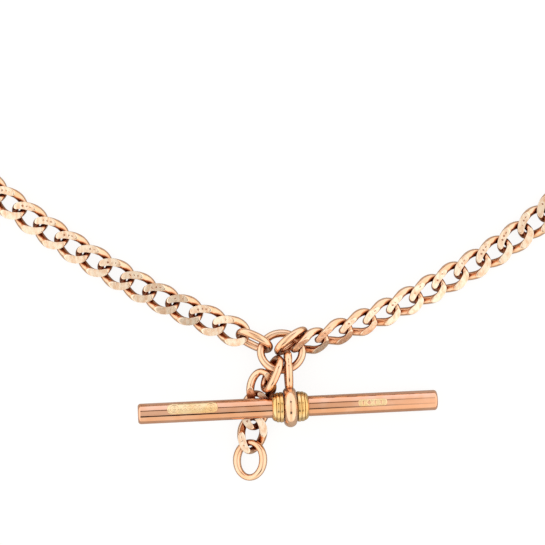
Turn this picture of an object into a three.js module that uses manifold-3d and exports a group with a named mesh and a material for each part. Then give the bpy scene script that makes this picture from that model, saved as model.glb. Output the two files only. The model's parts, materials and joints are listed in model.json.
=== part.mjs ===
// A gentleman's double watch chain, laid out flat: two curb-link arms meet at a centre ring
// that also carries a T-bar, a jump link and a short drop chain; each arm ends in a swivel clasp.
// Millimetres, +Z up, the chain rests on z = 0 and the origin is under the middle of its box.
import * as THREE from "three";
import { mergeVertices } from "three/addons/utils/BufferGeometryUtils.js";
import Module from "manifold-3d";

const wasm = await Module();
wasm.setup();

// ---- driving dimensions ----
const WIRE = 0.98; // diameter of the wire at the ends of every link
const SWELL = 0.2; // how much thicker the wire is along a link's two sides
const LINK_WIDTH = 4.3; // outside width of a curb link
const PITCH = 3.68; // distance between the centres of neighbouring links
const PLAY = 0.12; // how far two neighbouring links can slide before they pull tight
const LINK_LENGTH = PITCH + 2 * WIRE + PLAY;
const END_TWIST = Math.PI / 4; // how far each end of a curb link is turned from its middle
const TWIST_POWER = 0.7; // how evenly the twist is spread: 1 is gentle, less turns the ends sooner
const OVAL_POWER = 0.8; // how square the oval of a link is: 1 is an ellipse
const FLAT = 0.9; // half the thickness left by filing a curb link on both sides
const LINKS_IN_VIEW = 12; // single links of each arm, counted from the centre ring
const LINKS_IN_RUN = 6; // links that move together in each outer run of an arm
const RUNS = 5; // outer runs of each arm
const RUN_GAP = 0.5; // clearance between neighbouring runs

const RING_WIDTH = 7.1;
const RING_HEIGHT = 6.5;
const RING_WIRE = 1.14;
const RING_LIFT = 2.22; // height of the ring's middle above the table
const RING_TILT = THREE.MathUtils.degToRad(12.6);

const END_RING_LENGTH = 6.0;
const END_RING_WIDTH = 5.3;

const BAR_LENGTH = 42.7;
const BAR_RADIUS = 1.45;
const BAR_EDGE = 0.28; // radius of the rounding at the bar's ends
const BAND_RADIUS = 2.9;
const BAND_WIDTH = 1.7;
const BORE_CLEARANCE = 0.08;
const COLLAR_RADIUS = 2.18;
const COLLAR_WIDTH = 1.62;
const COLLAR_GAP = 0.12;
const BAND_CLEARANCE = 0.16; // under the band, as the rod rests on the drop chain
const BAR_LEFT = 21.6; // from the middle of the band to the bar's left end
const BAIL_WIRE = 1.12;
const BAIL_HALF_HEIGHT = 1.3;
const BAIL_REACH = 7.55; // from the bar's axis to the far end of the bail's centreline
const BAIL_DROP = THREE.MathUtils.degToRad(2); // how far the bail's far end hangs down

const CLASP_AXIS = 1.95; // height of a clasp's long axis above the table
const EYE_RADIUS = 1.8;
const STEM_RADIUS = 0.6;
const HEAD_RADIUS = 1.7;

const LINK_STEPS = 18;
const LINK_SIDES = 8;

// ---- finishes ----
function metal(colour, roughness) {
  return new THREE.MeshStandardMaterial({ color: colour, roughness, metalness: 1 });
}
const ROSE_GOLD = metal(0xd9946a, 0.18);
const YELLOW_GOLD = metal(0xd9ad55, 0.25);
const STEEL = metal(0xb8b8ba, 0.3);

const part = new THREE.Group();

function addMesh(parent, name, geometry, material) {
  const mesh = new THREE.Mesh(geometry, material);
  mesh.name = name;
  parent.add(mesh);
  return mesh;
}

// ---- closed surfaces ----

// Turns a geometry's faces round if they point inwards.
function facingOut(positions, indices) {
  let sixVolumes = 0;
  const a = new THREE.Vector3();
  const b = new THREE.Vector3();
  const c = new THREE.Vector3();
  for (let i = 0; i < indices.length; i += 3) {
    a.fromArray(positions, 3 * indices[i]);
    b.fromArray(positions, 3 * indices[i + 1]);
    c.fromArray(positions, 3 * indices[i + 2]);
    sixVolumes += a.dot(b.cross(c));
  }
  if (sixVolumes < 0) indices.reverse();
  const geometry = new THREE.BufferGeometry();
  geometry.setAttribute("position", new THREE.Float32BufferAttribute(positions, 3));
  geometry.setIndex(indices);
  return geometry;
}

// Joins rings of points into a skin. A closed skin comes back to its first ring,
// an open one ends in flat caps.
function skin(rings, closed) {
  const sides = rings[0].length;
  const positions = [];
  const indices = [];
  for (const ring of rings) {
    for (const point of ring) positions.push(point.x, point.y, point.z);
  }
  const spans = closed ? rings.length : rings.length - 1;
  for (let i = 0; i < spans; i += 1) {
    const here = i * sides;
    const there = ((i + 1) % rings.length) * sides;
    for (let j = 0; j < sides; j += 1) {
      const next = (j + 1) % sides;
      indices.push(here + j, here + next, there + next);
      indices.push(here + j, there + next, there + j);
    }
  }
  if (!closed) {
    const last = (rings.length - 1) * sides;
    for (let j = 1; j < sides - 1; j += 1) {
      indices.push(0, j + 1, j);
      indices.push(last, last + j, last + j + 1);
    }
  }
  return facingOut(positions, indices);
}

// A round wire along a centreline. centre(t) gives its points and up(t) a direction
// across it, for t from 0 to 1; filed is the half thickness left by filing, if any.
function wire({ centre, up, radius, steps, sides, closed, filed = Infinity }) {
  const rings = [];
  const count = closed ? steps : steps + 1;
  for (let i = 0; i < count; i += 1) {
    const t = i / steps;
    const middle = centre(t);
    const ahead = centre(t + 1e-4).sub(centre(t - 1e-4)).normalize();
    const across = up(t).cross(ahead).normalize();
    const over = ahead.clone().cross(across);
    const r = typeof radius === "function" ? radius(t) : radius;
    const ring = [];
    for (let j = 0; j < sides; j += 1) {
      const angle = (2 * Math.PI * (j + 0.5)) / sides;
      const point = middle.clone();
      point.addScaledVector(across, r * Math.cos(angle));
      point.addScaledVector(over, r * Math.sin(angle));
      point.z = THREE.MathUtils.clamp(point.z, -filed, filed);
      ring.push(point);
    }
    rings.push(ring);
  }
  return skin(rings, closed);
}

// A solid of revolution about X, from a closed profile of [x, radius] pairs.
function turned(profile, segments) {
  const points = profile.map(([x, r]) => new THREE.Vector2(r, x));
  const geometry = new THREE.LatheGeometry(points, segments);
  geometry.rotateZ(-Math.PI / 2);
  return welded(geometry);
}

function welded(geometry) {
  const bare = geometry.clone();
  bare.deleteAttribute("normal");
  bare.deleteAttribute("uv");
  const merged = mergeVertices(bare, 1e-4);
  const kept = [];
  const index = merged.index.array;
  for (let i = 0; i < index.length; i += 3) {
    const [a, b, c] = [index[i], index[i + 1], index[i + 2]];
    if (a !== b && b !== c && a !== c) kept.push(a, b, c);
  }
  return facingOut(Array.from(merged.attributes.position.array), kept);
}

// ---- joining and cutting ----
function toManifold(geometry) {
  const merged = welded(geometry);
  return new wasm.Manifold(
    new wasm.Mesh({
      numProp: 3,
      vertProperties: merged.attributes.position.array,
      triVerts: new Uint32Array(merged.index.array),
    }),
  );
}

function fromManifold(solid) {
  const mesh = solid.getMesh();
  return facingOut(Array.from(mesh.vertProperties), Array.from(mesh.triVerts));
}

function joined(...geometries) {
  return fromManifold(geometries.map(toManifold).reduce((all, one) => all.add(one)));
}

function cut(geometry, tool) {
  return fromManifold(toManifold(geometry).subtract(toManifold(tool)));
}

// ---- links ----

function signedPower(value, power) {
  return Math.sign(value) * Math.abs(value) ** power;
}

// An oval link in its own frame: X along the chain, Z across its flat side. twist turns
// each end about X, which makes a curb link; a plain link has none. The wire is thickest
// along the two sides. power is how square the oval is.
function linkGeometry({
  length,
  width,
  diameter,
  swell,
  twist = 0,
  filed = Infinity,
  power = OVAL_POWER,
}) {
  const halfLength = (length - diameter) / 2;
  const halfWidth = (width - diameter - swell) / 2;
  const turn = (t) => -twist * signedPower(Math.cos(2 * Math.PI * t), TWIST_POWER);
  const centre = (t) => {
    const y = halfWidth * signedPower(Math.sin(2 * Math.PI * t), power);
    const x = halfLength * signedPower(Math.cos(2 * Math.PI * t), power);
    return new THREE.Vector3(x, y * Math.cos(turn(t)), y * Math.sin(turn(t)));
  };
  const up = (t) => new THREE.Vector3(0, -Math.sin(turn(t)), Math.cos(turn(t)));
  return wire({
    centre,
    up,
    radius: (t) => (diameter + swell * Math.sin(2 * Math.PI * t) ** 2) / 2,
    steps: LINK_STEPS,
    sides: LINK_SIDES,
    closed: true,
    filed,
  });
}

const CURB_LINK = linkGeometry({
  length: LINK_LENGTH,
  width: LINK_WIDTH,
  diameter: WIRE,
  swell: SWELL,
  twist: END_TWIST,
  filed: FLAT,
});
const PLAIN_LINK = linkGeometry({
  length: LINK_LENGTH,
  width: LINK_WIDTH,
  diameter: WIRE,
  swell: SWELL,
});

// Lays a mesh on the table at (x, y): heading turns it in plan, roll about its own length,
// pitch raises its leading end. lift is the height of its middle, or it just touches.
function lay(mesh, { x, y, heading, roll = 0, pitch = 0, lift = null }) {
  mesh.rotation.order = "ZYX";
  mesh.rotation.set(
    THREE.MathUtils.degToRad(roll),
    THREE.MathUtils.degToRad(-pitch),
    THREE.MathUtils.degToRad(heading),
  );
  mesh.position.set(x, y, 0);
  mesh.updateMatrixWorld(true);
  mesh.position.z = lift ?? -new THREE.Box3().setFromObject(mesh, true).min.z;
}

// ---- centre ring and what hangs on it ----
const RING_HALF_WIDTH = (RING_WIDTH - RING_WIRE) / 2;
const RING_HALF_HEIGHT = (RING_HEIGHT - RING_WIRE) / 2;

function buildCentreRing() {
  const centre = (t) => {
    const angle = 2 * Math.PI * t;
    return new THREE.Vector3(RING_HALF_WIDTH * Math.cos(angle), RING_HALF_HEIGHT * Math.sin(angle), 0);
  };
  const geometry = wire({
    centre,
    up: () => new THREE.Vector3(0, 0, 1),
    radius: RING_WIRE / 2,
    steps: 28,
    sides: 10,
    closed: true,
  });
  const ring = addMesh(part, "centre_ring", geometry, ROSE_GOLD);
  ring.position.z = RING_LIFT;
  ring.rotation.x = -RING_TILT;
}

function buildLooseLinks() {
  const leftConnector = addMesh(part, "left_connector_link", PLAIN_LINK, ROSE_GOLD);
  lay(leftConnector, { x: -3.89, y: 1.54, heading: -25.8, pitch: 1.7, roll: 62.4, lift: 1.97 });
  const jumpLink = addMesh(part, "t_bar_jump_link", PLAIN_LINK, ROSE_GOLD);
  lay(jumpLink, { x: 1.37, y: 1.5, heading: 37.2, pitch: -4.7, roll: 68.8, lift: 2.07 });
}

// ---- the two arms ----

// The middle line of each arm in plan, from its first link outwards.
function planCurve(points) {
  return new THREE.CatmullRomCurve3(points.map(([x, y]) => new THREE.Vector3(x, y, 0)));
}

const ARMS = [
  {
    side: "left",
    path: planCurve([
      [-7.27, 3.05],
      [-14.2, 6.15],
      [-20.7, 9.4],
      [-33.2, 17.1],
      [-44.6, 25.8],
      [-60, 40.5],
      [-74, 58],
      [-86, 82],
      [-91, 104],
      [-92, 120],
      [-92, 145],
    ]),
    roll: () => -12,
    climb: [
      { heading: 157, roll: -14, lift: 1.6, pitch: -6.4 },
      { lift: 1.31, pitch: -3.8 },
    ],
  },
  {
    side: "right",
    path: planCurve([
      [4.0, 1.2],
      [14.3, 5.35],
      [24.0, 10.4],
      [33.4, 16.2],
      [42.0, 23.6],
      [56, 38.5],
      [69, 57],
      [80, 82],
      [84.5, 104],
      [85.5, 120],
      [85.5, 145],
    ]),
    roll: (index) => THREE.MathUtils.mapLinear(index, 2, 12, 45, 0),
    climb: [
      { roll: 48.2, lift: 2.03, pitch: -3.3 },
      { roll: 44.2, lift: 1.89, pitch: -1 },
      { lift: 1.82, pitch: -1.5 },
    ],
  },
];

// Plan position and heading at a distance along an arm.
function along(path, distance) {
  const u = distance / path.getLength();
  const point = path.getPointAt(u);
  const ahead = path.getTangentAt(u);
  return { x: point.x, y: point.y, heading: THREE.MathUtils.radToDeg(Math.atan2(ahead.y, ahead.x)) };
}

function twoDigits(number) {
  return String(number).padStart(2, "0");
}

// An outer run of links as one plain strip of the chain's own width and thickness, in the
// frame of its inner end: X along the chain there.
function runGeometry(path, frame, start, end) {
  const halfWidth = LINK_WIDTH / 2;
  const roundSteps = 4;
  const bodySteps = 8;
  const toFrame = frame.clone().invert();
  const round = (k) => halfWidth * (1 - Math.cos(((Math.PI / 2) * (k + 0.4)) / roundSteps));
  const distances = [];
  for (let k = 0; k < roundSteps; k += 1) distances.push(start + round(k));
  for (let k = 1; k < bodySteps; k += 1) {
    const share = k / bodySteps;
    distances.push(THREE.MathUtils.lerp(start + halfWidth * 1.1, end - halfWidth * 1.1, share));
  }
  for (let k = roundSteps - 1; k >= 0; k -= 1) distances.push(end - round(k));
  const rings = distances.map((distance) => {
    const place = along(path, distance);
    const inset = Math.max(0, halfWidth - Math.min(distance - start, end - distance));
    const reach = Math.sqrt(halfWidth ** 2 - inset ** 2);
    const heading = THREE.MathUtils.degToRad(place.heading);
    const across = new THREE.Vector3(-Math.sin(heading), Math.cos(heading), 0);
    const corner = (side, height) => {
      const point = new THREE.Vector3(place.x, place.y, height);
      return point.addScaledVector(across, side * reach).applyMatrix4(toFrame);
    };
    return [corner(-1, 0), corner(1, 0), corner(1, 2 * FLAT), corner(-1, 2 * FLAT)];
  });
  return skin(rings, false);
}

function buildRuns(side, path, firstStart) {
  const runLength = LINKS_IN_RUN * PITCH;
  const linkEnd = LINK_LENGTH / 2 - PITCH / 2;
  for (let run = 1; run <= RUNS; run += 1) {
    const start = firstStart + (run - 1) * runLength;
    const place = along(path, start);
    const frame = new THREE.Matrix4().makeRotationZ(THREE.MathUtils.degToRad(place.heading));
    frame.setPosition(place.x, place.y, FLAT);
    const fromLink = run === 1 ? linkEnd : 0;
    const toClasp = run === RUNS ? linkEnd : 0;
    const from = start + RUN_GAP / 2 + fromLink;
    const to = start + runLength - RUN_GAP / 2 - toClasp;
    const geometry = runGeometry(path, frame, from, to);
    const mesh = addMesh(part, `${side}_chain_run_${twoDigits(run)}`, geometry, ROSE_GOLD);
    mesh.applyMatrix4(frame);
  }
}

// The first links of an arm climb towards the ring, the others lie on the table.
function buildArm({ side, path, roll, climb }) {
  for (let index = 1; index <= LINKS_IN_VIEW; index += 1) {
    const place = along(path, (index - 1) * PITCH);
    const link = addMesh(part, `${side}_link_${twoDigits(index)}`, CURB_LINK, ROSE_GOLD);
    lay(link, { ...place, roll: roll(index), ...climb[index - 1] });
  }
  const firstStart = (LINKS_IN_VIEW - 0.5) * PITCH;
  buildRuns(side, path, firstStart);
  buildClasp(side, along(path, firstStart + RUNS * LINKS_IN_RUN * PITCH));
}

// ---- swivel clasps ----

// A clasp in its own frame: X from the chain outwards, the origin where the chain's last
// pitch ends.
function buildClasp(side, place) {
  const clasp = new THREE.Group();
  clasp.position.set(place.x, place.y, CLASP_AXIS);
  clasp.rotation.order = "ZYX";
  clasp.rotation.set(0, THREE.MathUtils.degToRad(2.6), THREE.MathUtils.degToRad(place.heading));
  part.add(clasp);

  const eyeCentre = 1.2;
  const headStart = eyeCentre + EYE_RADIUS + 0.9;
  const headEnd = headStart + 4.0;
  const segments = 16;

  const eyeRing = wire({
    centre: (t) => {
      const angle = 2 * Math.PI * t;
      const x = eyeCentre + EYE_RADIUS * Math.cos(angle);
      return new THREE.Vector3(x, EYE_RADIUS * Math.sin(angle), 0);
    },
    up: () => new THREE.Vector3(0, 0, 1),
    radius: WIRE / 2,
    steps: 18,
    sides: 8,
    closed: true,
  });
  eyeRing.rotateX(Math.PI / 4);
  const stem = turned(
    [
      [eyeCentre + EYE_RADIUS, 0],
      [eyeCentre + EYE_RADIUS, STEM_RADIUS],
      [headEnd + 0.2, STEM_RADIUS],
      [headEnd + 0.2, STEM_RADIUS + 0.45],
      [headEnd + 0.9, STEM_RADIUS + 0.45],
      [headEnd + 0.9, 0],
    ],
    segments,
  );
  addMesh(clasp, `${side}_clasp_eye`, joined(eyeRing, stem), ROSE_GOLD);

  const bore = STEM_RADIUS + BORE_CLEARANCE;
  const head = turned(
    [
      [headStart, bore],
      [headStart, HEAD_RADIUS - 0.5],
      [headStart + 0.5, HEAD_RADIUS],
      [headStart + 1.3, HEAD_RADIUS],
      [headStart + 1.6, HEAD_RADIUS - 0.35],
      [headEnd - 0.6, HEAD_RADIUS - 0.35],
      [headEnd, HEAD_RADIUS - 0.6],
      [headEnd, bore],
      [headStart, bore],
    ],
    segments,
  );
  const hookWidth = 3.0;
  const hookTop = headEnd + 5.6;
  const hookPath = new THREE.CatmullRomCurve3(
    [
      [headEnd - 1.6, hookWidth * 0.38],
      [headEnd - 0.6, hookWidth * 0.72],
      [headEnd + 0.9, hookWidth],
      [headEnd + 3.4, hookWidth * 1.08],
      [hookTop + 0.6, hookWidth * 1.02],
      [hookTop + 2.9, hookWidth * 0.5],
      [hookTop + 3.3, -hookWidth * 0.35],
      [hookTop + 1.8, -hookWidth * 0.95],
      [hookTop + 0.2, -hookWidth],
    ].map(([x, y]) => new THREE.Vector3(x, y, 0)),
  );
  const hookTube = wire({
    centre: (t) => hookPath.getPoint(THREE.MathUtils.clamp(t, 0, 1)),
    up: () => new THREE.Vector3(0, 0, 1),
    radius: (t) => THREE.MathUtils.lerp(0.85, 0.6, t),
    steps: 22,
    sides: 8,
    closed: false,
  });
  const boreTool = turned(
    [
      [headStart - 1, 0],
      [headStart - 1, bore],
      [headEnd + 1, bore],
      [headEnd + 1, 0],
    ],
    segments,
  );
  const lugCentre = new THREE.Vector3(headEnd - 0.9, -hookWidth * 0.62, 0);
  const lug = turned(
    [
      [-0.95, 0],
      [-0.95, 0.75],
      [0.95, 0.75],
      [0.95, 0],
    ],
    12,
  );
  lug.rotateY(Math.PI / 2);
  lug.translate(lugCentre.x, lugCentre.y, 0);
  const lugSlot = new THREE.BoxGeometry(2.6, 2.2, 0.9);
  lugSlot.translate(lugCentre.x + 0.35, lugCentre.y - 0.15, 0);
  const pinRadius = 0.26;
  const pinHole = turned(
    [
      [-2, 0],
      [-2, pinRadius + BORE_CLEARANCE],
      [2, pinRadius + BORE_CLEARANCE],
      [2, 0],
    ],
    12,
  );
  pinHole.rotateY(Math.PI / 2);
  pinHole.translate(lugCentre.x, lugCentre.y, 0);
  const hookBody = cut(cut(cut(joined(head, lug, hookTube), boreTool), lugSlot), pinHole);
  addMesh(clasp, `${side}_clasp_hook`, hookBody, ROSE_GOLD);

  const pivot = new THREE.Group();
  pivot.position.copy(lugCentre);
  clasp.add(pivot);
  const pin = turned(
    [
      [-0.95, 0],
      [-0.95, pinRadius],
      [0.95, pinRadius],
      [0.95, 0],
    ],
    12,
  );
  pin.rotateY(Math.PI / 2);
  addMesh(pivot, `${side}_clasp_gate_pin`, pin, STEEL);

  const gateTip = new THREE.Vector3(hookTop - 0.75, -hookWidth, 0).sub(lugCentre);
  const gateBar = wire({
    centre: (t) => {
      const bow = 0.3 * Math.sin(Math.PI * t);
      return new THREE.Vector3(gateTip.x * t, gateTip.y * t - bow, 0);
    },
    up: () => new THREE.Vector3(0, 0, 1),
    radius: (t) => THREE.MathUtils.lerp(0.36, 0.5, t),
    steps: 8,
    sides: 8,
    closed: false,
  });
  const gateRoot = turned(
    [
      [-0.36, 0],
      [-0.36, 0.55],
      [0.36, 0.55],
      [0.36, 0],
    ],
    12,
  );
  gateRoot.rotateY(Math.PI / 2);
  const thumbKnob = new THREE.SphereGeometry(0.7, 10, 8);
  thumbKnob.translate(1.9, -1.15, 0);
  pinHole.translate(-lugCentre.x, -lugCentre.y, 0);
  const gate = cut(joined(gateBar, gateRoot, thumbKnob), pinHole);
  addMesh(pivot, `${side}_clasp_gate`, gate, ROSE_GOLD);

  const spring = new THREE.BoxGeometry(1.7, 0.18, 0.6);
  spring.translate(headEnd - 2.45, -HEAD_RADIUS - 0.17, 0);
  addMesh(clasp, `${side}_clasp_spring`, spring, STEEL);
}

// ---- T-bar ----
function buildTBar() {
  const bar = new THREE.Group();
  bar.position.set(1.2, -7.83, BAND_RADIUS + BAND_CLEARANCE);
  bar.rotation.order = "ZYX";
  bar.rotation.set(-BAIL_DROP, THREE.MathUtils.degToRad(4.4), THREE.MathUtils.degToRad(2.4));
  part.add(bar);

  const left = -BAR_LEFT;
  const right = BAR_LENGTH - BAR_LEFT;
  const segments = 20;
  const rod = turned(
    [
      [left, 0],
      [left, BAR_RADIUS - BAR_EDGE],
      [left + 0.3 * BAR_EDGE, BAR_RADIUS - 0.3 * BAR_EDGE],
      [left + BAR_EDGE, BAR_RADIUS],
      [right - BAR_EDGE, BAR_RADIUS],
      [right - 0.3 * BAR_EDGE, BAR_RADIUS - 0.3 * BAR_EDGE],
      [right, BAR_RADIUS - BAR_EDGE],
      [right, 0],
    ],
    segments,
  );
  addMesh(bar, "t_bar_rod", rod, ROSE_GOLD);

  const bore = BAR_RADIUS + BORE_CLEARANCE;
  for (const [name, direction] of [["left", -1], ["right", 1]]) {
    const inner = BAND_WIDTH / 2 + COLLAR_GAP;
    const profile = [
      [inner, bore],
      [inner, COLLAR_RADIUS - 0.12],
      [inner + 0.1, COLLAR_RADIUS],
      [inner + 0.5, COLLAR_RADIUS],
      [inner + 0.56, COLLAR_RADIUS - 0.12],
      [inner + 0.62, COLLAR_RADIUS - 0.03],
      [inner + 0.98, COLLAR_RADIUS - 0.06],
      [inner + 1.05, COLLAR_RADIUS - 0.2],
      [inner + 1.12, COLLAR_RADIUS - 0.18],
      [inner + 1.4, COLLAR_RADIUS - 0.34],
      [inner + COLLAR_WIDTH, bore + 0.1],
    ];
    profile.push([inner + COLLAR_WIDTH, bore], [inner, bore]);
    const collar = turned(profile.map(([x, r]) => [direction * x, r]), segments);
    addMesh(bar, `t_bar_${name}_collar`, collar, YELLOW_GOLD);
  }

  const halfBand = BAND_WIDTH / 2;
  const band = turned(
    [
      [-halfBand, bore],
      [-halfBand, BAND_RADIUS - 0.45],
      [-halfBand * 0.5, BAND_RADIUS],
      [halfBand * 0.5, BAND_RADIUS],
      [halfBand, BAND_RADIUS - 0.45],
      [halfBand, bore],
      [-halfBand, bore],
    ],
    segments,
  );
  const near = BAND_RADIUS - 0.25;
  const bailMiddle = (near + BAIL_REACH) / 2;
  const bailHalf = (BAIL_REACH - near) / 2;
  const loop = wire({
    centre: (t) => {
      const angle = 2 * Math.PI * t;
      const y = bailMiddle + bailHalf * Math.cos(angle);
      return new THREE.Vector3(0, y, BAIL_HALF_HEIGHT * Math.sin(angle));
    },
    up: () => new THREE.Vector3(1, 0, 0),
    radius: BAIL_WIRE / 2,
    steps: 20,
    sides: 8,
    closed: true,
  });
  const boreTool = turned(
    [
      [-2, 0],
      [-2, bore],
      [2, bore],
      [2, 0],
    ],
    segments,
  );
  addMesh(bar, "t_bar_swivel_bail", cut(joined(band, loop), boreTool), ROSE_GOLD);
}

// ---- drop chain ----
function buildDropChain() {
  const endRing = linkGeometry({
    length: END_RING_LENGTH,
    width: END_RING_WIDTH,
    diameter: WIRE,
    swell: SWELL,
    power: 1,
  });
  const pieces = [
    ["drop_link_01", PLAIN_LINK, { x: -1.34, y: -3.16, heading: -113.8, pitch: 1.6, roll: 69.8, lift: 2.86 }],
    ["drop_link_02", CURB_LINK, { x: -2.88, y: -5.23, heading: -101.6, pitch: -20.1, roll: -5.4, lift: 1.7 }],
    ["drop_link_03", CURB_LINK, { x: -3.77, y: -8.48, heading: -97.2, pitch: 0.9, roll: -5.2 }],
    ["drop_link_04", CURB_LINK, { x: -4.22, y: -11.89, heading: -98.8, pitch: 0.7, roll: -9.1 }],
    ["drop_end_ring", endRing, { x: -4.5, y: -15.57, heading: -95, pitch: 1.3, roll: 18.6, lift: 1.25 }],
  ];
  for (const [name, geometry, place] of pieces) lay(addMesh(part, name, geometry, ROSE_GOLD), place);
}

// ---- assembly ----
buildCentreRing();
buildLooseLinks();
ARMS.forEach(buildArm);
buildTBar();
buildDropChain();

part.updateMatrixWorld(true);
const box = new THREE.Box3().setFromObject(part, true);
const middle = box.getCenter(new THREE.Vector3());
part.position.set(-middle.x, -middle.y, -box.min.z);

export default part;
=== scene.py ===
"""Looks of the double watch chain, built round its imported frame. Lengths are in metres."""
import json
import math

import bmesh
import bpy
import numpy as np
from mathutils import Matrix, Vector


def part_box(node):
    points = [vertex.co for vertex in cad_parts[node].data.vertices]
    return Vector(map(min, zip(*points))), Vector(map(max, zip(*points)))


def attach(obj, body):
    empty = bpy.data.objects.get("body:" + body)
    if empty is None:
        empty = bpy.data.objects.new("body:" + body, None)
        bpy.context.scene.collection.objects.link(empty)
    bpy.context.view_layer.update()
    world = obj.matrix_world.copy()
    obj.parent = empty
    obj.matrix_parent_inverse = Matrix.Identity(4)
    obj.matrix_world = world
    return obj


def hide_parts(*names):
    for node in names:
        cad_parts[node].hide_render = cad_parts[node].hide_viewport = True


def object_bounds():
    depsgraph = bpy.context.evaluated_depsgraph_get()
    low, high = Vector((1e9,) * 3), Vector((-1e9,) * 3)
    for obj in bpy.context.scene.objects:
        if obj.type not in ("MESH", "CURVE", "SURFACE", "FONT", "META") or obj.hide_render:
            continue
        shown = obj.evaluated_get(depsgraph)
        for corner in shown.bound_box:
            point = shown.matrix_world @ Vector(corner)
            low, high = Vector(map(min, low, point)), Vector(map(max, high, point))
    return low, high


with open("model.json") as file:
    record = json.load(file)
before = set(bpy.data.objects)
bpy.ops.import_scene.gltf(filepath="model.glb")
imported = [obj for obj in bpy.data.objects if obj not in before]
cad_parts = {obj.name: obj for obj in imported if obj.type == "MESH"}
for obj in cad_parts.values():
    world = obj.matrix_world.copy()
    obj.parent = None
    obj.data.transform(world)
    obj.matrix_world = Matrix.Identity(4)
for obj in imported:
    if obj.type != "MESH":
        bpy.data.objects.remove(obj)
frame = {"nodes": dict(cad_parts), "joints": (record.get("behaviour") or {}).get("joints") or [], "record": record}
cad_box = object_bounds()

MM = 0.001
JOINTS = {joint["name"]: joint for joint in frame["joints"]}
BODY_OF = {
    node: body for body, nodes in frame["record"]["behaviour"]["bodies"].items() for node in nodes
}

# ---- driving dimensions ----
WIRE = 0.93 * MM  # a hair thinner than the frame's, to leave neighbouring links some room
SWELL = 0.24 * MM  # how much thicker the wire is along a link's two sides
LINK_LENGTH = 5.76 * MM
LINK_WIDTH = 4.3 * MM
END_TWIST = math.radians(45)
TWIST_POWER = 0.7  # how evenly the twist is spread along a link
OVAL_POWER = 0.8  # how square a link's oval is; 1 is an ellipse
FLAT_BELOW = 0.9 * MM  # from a curb link's middle to its filed underside
FLAT_ABOVE = 0.66 * MM  # and to its filed face, which is cut deeper
FLAT_EDGE = 0.05 * MM  # how softly the filed faces meet the round wire
LINKS_IN_RUN = 6
RUNS = 5
TABLE = cad_box[0][2] + 0.002 * MM  # the lowest that any piece may reach
SIDES = ("left", "right")


# ---- places read from the frame ----
def joint_point(name):
    return Vector(JOINTS[name]["pos_m"])


def joint_axis(name):
    return Vector(JOINTS[name]["axis"]).normalized()


def node_points(node):
    vertices = frame["nodes"][node].data.vertices
    return np.unique(np.round([tuple(v.co) for v in vertices], 7), axis=0)


def place_matrix(origin, x_axis, z_axis):
    y_axis = z_axis.cross(x_axis).normalized()
    z_axis = x_axis.cross(y_axis)
    place = Matrix((x_axis, y_axis, z_axis)).transposed().to_4x4()
    place.translation = origin
    return place


def loop_place(node):
    """Where a looped piece lies: its middle, X along its length and Z through its thickness."""
    points = node_points(node)
    middle = points.mean(axis=0)
    _, axes = np.linalg.eigh(np.cov((points - middle).T))
    z_axis = Vector(axes[:, 0])
    x_axis = Vector(axes[:, 2])
    if z_axis.z < 0:
        z_axis.negate()
    if x_axis.x < 0:
        x_axis.negate()
    return place_matrix(Vector(middle), x_axis, z_axis)


# ---- camera ----
VIEW_WIDTH = 77.86 * MM
LENS = 120
SENSOR = 36
AIM_FROM_RING = Vector((-1.286 * MM, 11.286 * MM, 0))


def make_camera():
    data = bpy.data.cameras.new("camera")
    data.lens = LENS
    data.sensor_width = SENSOR
    data.clip_start = 0.01
    data.clip_end = 20
    camera = bpy.data.objects.new("camera", data)
    bpy.context.scene.collection.objects.link(camera)
    low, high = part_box("centre_ring")
    aim = (low + high) / 2 + AIM_FROM_RING
    camera.location = (aim.x, aim.y, 2 * MM + VIEW_WIDTH * LENS / SENSOR)
    bpy.context.scene.camera = camera
    bpy.context.scene.view_settings.view_transform = "Standard"


# ---- shader building ----
class Nodes:
    """Adds and joins nodes in one tree."""

    def __init__(self, tree):
        self.tree = tree
        tree.nodes.clear()

    def add(self, kind, inputs=None, **settings):
        node = self.tree.nodes.new(kind)
        for name, value in settings.items():
            setattr(node, name, value)
        for name, value in (inputs or {}).items():
            socket = node.inputs[name]
            if isinstance(value, bpy.types.NodeSocket):
                self.tree.links.new(value, socket)
            else:
                socket.default_value = value
        return node

    def math(self, operation, a, b=0.0, c=0.0, clamp=False):
        node = self.add("ShaderNodeMath", {0: a, 1: b, 2: c}, operation=operation)
        node.use_clamp = clamp
        return node.outputs[0]

    def fade(self, value, low, high):
        """0 below low, 1 above high, smoothly; the other way round if low is the greater."""
        node = self.add(
            "ShaderNodeMapRange",
            {"Value": value, "From Min": low, "From Max": high},
            interpolation_type="SMOOTHSTEP",
        )
        return node.outputs["Result"]

    def noise(self, vector, scale, detail=3.0, roughness=0.5):
        node = self.add(
            "ShaderNodeTexNoise",
            {"Vector": vector, "Scale": scale, "Detail": detail, "Roughness": roughness},
        )
        return node.outputs["Fac"]

    def mix(self, factor, a, b, blend="MIX"):
        node = self.add(
            "ShaderNodeMix", {0: factor, 6: a, 7: b}, data_type="RGBA", blend_type=blend
        )
        return node.outputs[2]

    def stretched(self, vector, scale):
        return self.add("ShaderNodeMapping", {"Vector": vector, "Scale": scale}).outputs[0]


HALF_OVAL = (2.39, 1.5)  # half the length and width of a curb link's middle line, in mm
STAMP_SLANT = (0.92, 0.39)  # cosine and sine of the stamps' slant
LINK_INNER_SHADE = (0.62, 0.21, 0.07, 1)  # the wire's inner side, darkened with painted shade
# Colours of the filed face: a random mottle whose pale end is a painted highlight.
FILED_DARK = (0.88, 0.60, 0.40, 1)
FILED_PALE_HIGHLIGHT = (1.0, 0.86, 0.68, 1)
# Each stamp's place (x, y) and half its length and width on a link's filed face, in mm.
STAMPS = ((-1.66, 1.0, 0.19, 0.2), (-1.16, 1.32, 0.17, 0.19), (-0.64, 1.51, 0.22, 0.11))


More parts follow.
